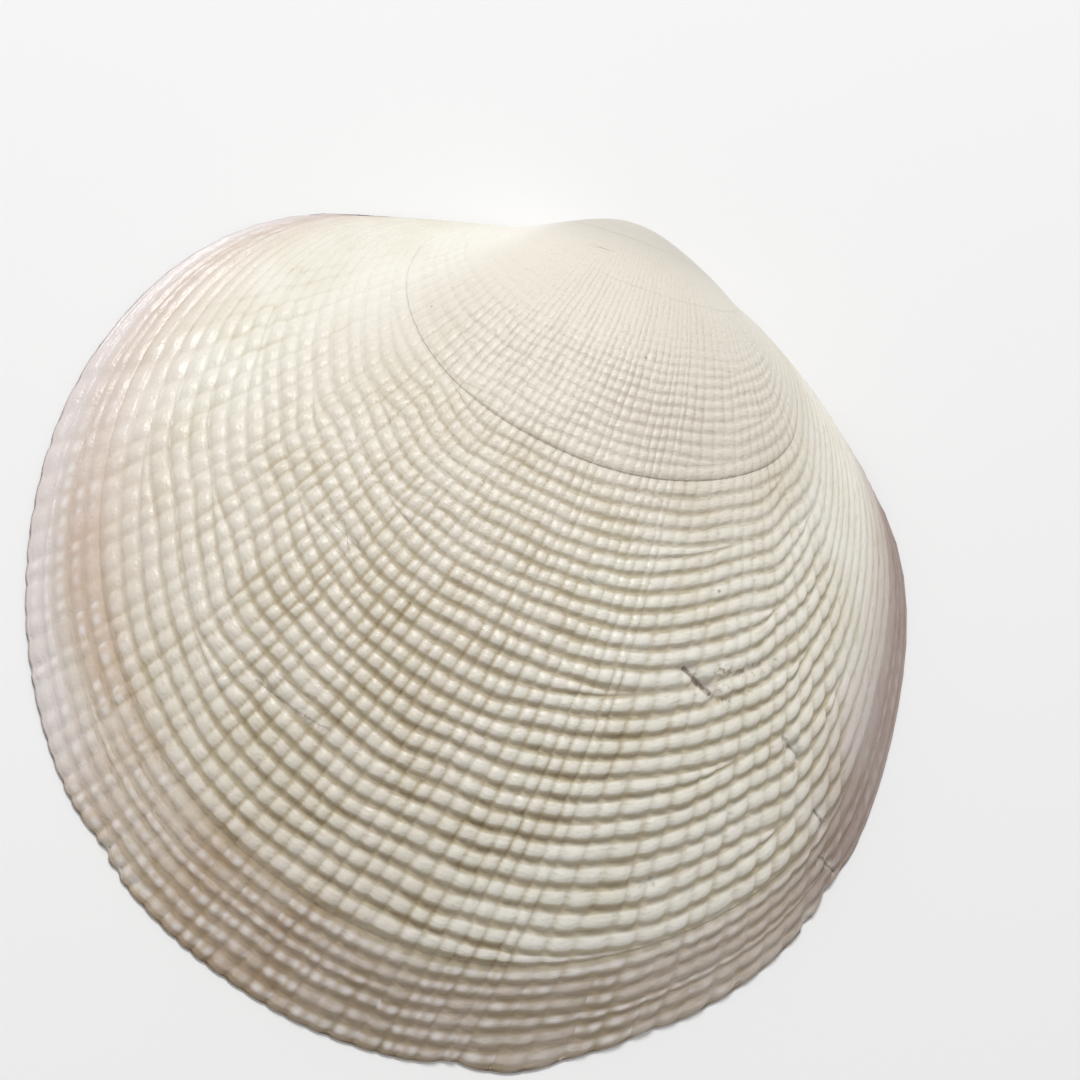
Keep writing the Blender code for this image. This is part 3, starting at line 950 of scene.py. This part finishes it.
def insideMaterial():
    material = bpy.data.materials.new("porcelainInside")
    material.use_nodes = True
    tree = material.node_tree
    shader = tree.nodes["Principled BSDF"]
    inward, degrees, scar = (shellValue(tree, name) for name in ("inward", "degrees", "scar"))
    grain = addNode(tree, "ShaderNodeGroup", {"Fineness": 0.6, "Pits": 0.2}, node_tree=chalkGrain)
    patches = grain.outputs["Patches"]
    wavy = maths(tree, "MULTIPLY_ADD", patches, 0.05, inward)

    base = blend(tree, spread(tree, wavy, 0.30, 0.75), insideFinish["middle"], insideFinish["ring"])
    # chalky outside the line where the mantle was fastened, glossier within it
    outer = spread(tree, wavy, 0.895, 0.93)
    base = blend(tree, outer, base, insideFinish["chalk"])
    fromLine = maths(tree, "ABSOLUTE", maths(tree, "SUBTRACT", wavy, 0.912))
    line = maths(tree, "MULTIPLY", spread(tree, fromLine, 0.012, 0.002), 0.55)
    base = blend(tree, line, base, insideFinish["scar"])
    base = blend(tree, maths(tree, "MULTIPLY", scar, 0.7), base, insideFinish["scar"])
    base = blend(tree, spread(tree, inward, 1.0, 1.05), base, insideFinish["margin"])
    # fine rays and growth rings
    alongRay = flatPlace(tree, maths(tree, "MULTIPLY", degrees, 0.9), maths(tree, "MULTIPLY", inward, 3.0))
    rays = product(tree, noise(tree, alongRay, 1.0, 3.0, 0.6), spread(tree, inward, 0.25, 0.7))
    base = blend(tree, spread(tree, rays, 0.45, 0.75, 0.0, 0.25), base, insideFinish["scar"], "MULTIPLY")
    tree.links.new(base, shader.inputs["Base Color"])

    gloss = spread(tree, patches, 0.3, 0.7, 0.22, 0.36)
    tree.links.new(maths(tree, "MULTIPLY_ADD", outer, 0.22, gloss), shader.inputs["Roughness"])
    height = maths(tree, "MULTIPLY_ADD", rays, 0.8, maths(tree, "MULTIPLY", grain.outputs["Grain"], 0.35))
    bump = addNode(tree, "ShaderNodeBump", {"Height": height, "Strength": 0.4, "Distance": 0.00012})
    tree.links.new(bump.outputs["Normal"], shader.inputs["Normal"])
    return material


shell = buildValve()
shell.data.materials.append(outsideMaterial())
shell.data.materials.append(insideMaterial())
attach(shell, "root")
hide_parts("valve")
print("finishes set")

studio = {
    "floorSide": 3.0,
    "floorColour": colour(250, 250, 250),
    "worldLight": 0.40,
    "key": {"at": (-0.16, 0.56, 0.75), "side": 0.30, "power": 5.6},
    "fill": {"at": (0.5, -0.2, 0.8), "side": 0.7, "power": 0.3},
}


def buildStudio():
    bm = bmesh.new()
    bmesh.ops.create_grid(bm, x_segments=8, y_segments=8, size=studio["floorSide"] / 2)
    mesh = bpy.data.meshes.new("floor")
    bm.to_mesh(mesh)
    bm.free()
    floor = bpy.data.objects.new("floor", mesh)
    floor.location.z = -0.00005
    bpy.context.scene.collection.objects.link(floor)
    material = bpy.data.materials.new("paleFloor")
    material.use_nodes = True
    tree = material.node_tree
    shader = tree.nodes["Principled BSDF"]
    shader.inputs["Base Color"].default_value = studio["floorColour"]
    shader.inputs["Roughness"].default_value = 0.9
    floor.data.materials.append(material)
    world = bpy.data.worlds.new("softRoom")
    bpy.context.scene.world = world
    world.use_nodes = True
    world.node_tree.nodes["Background"].inputs["Color"].default_value = (1.0, 1.0, 1.0, 1.0)
    world.node_tree.nodes["Background"].inputs["Strength"].default_value = studio["worldLight"]
    for name in ("key", "fill"):
        light = bpy.data.lights.new(name + "Light", "AREA")
        light.energy = studio[name]["power"]
        light.size = studio[name]["side"]
        made = bpy.data.objects.new(name + "Light", light)
        made.location = studio[name]["at"]
        made.rotation_mode = "QUATERNION"
        made.rotation_quaternion = (-Vector(studio[name]["at"])).to_track_quat("-Z", "Y")
        bpy.context.scene.collection.objects.link(made)


# the camera looks down on the dome, 21 degrees off the vertical, in the rim centre's own turned frame
view = {"turns": (-0.271, 0.2505, -0.0932), "from": (0.0061, 0.00833, 0.19878), "lens": 75.08}


def buildCamera():
    turns = turned("X", view["turns"][0]) @ turned("Y", view["turns"][1]) @ turned("Z", view["turns"][2])
    centre = np.array([*growth["rimCentre"], 0]) + np.array(growth["place"])
    place = centre + turns.T @ np.array(view["from"])
    camera = bpy.data.objects.new("camera", bpy.data.cameras.new("camera"))
    camera.data.lens = view["lens"]
    camera.data.sensor_width = 36
    camera.data.clip_start = 0.01
    camera.matrix_world = Matrix.Translation(place.tolist()) @ Matrix(turns.T.tolist()).to_4x4()
    bpy.context.scene.collection.objects.link(camera)
    bpy.context.scene.camera = camera


buildStudio()
buildCamera()
bpy.context.scene.view_settings.view_transform = "Standard"
print("studio and camera set")
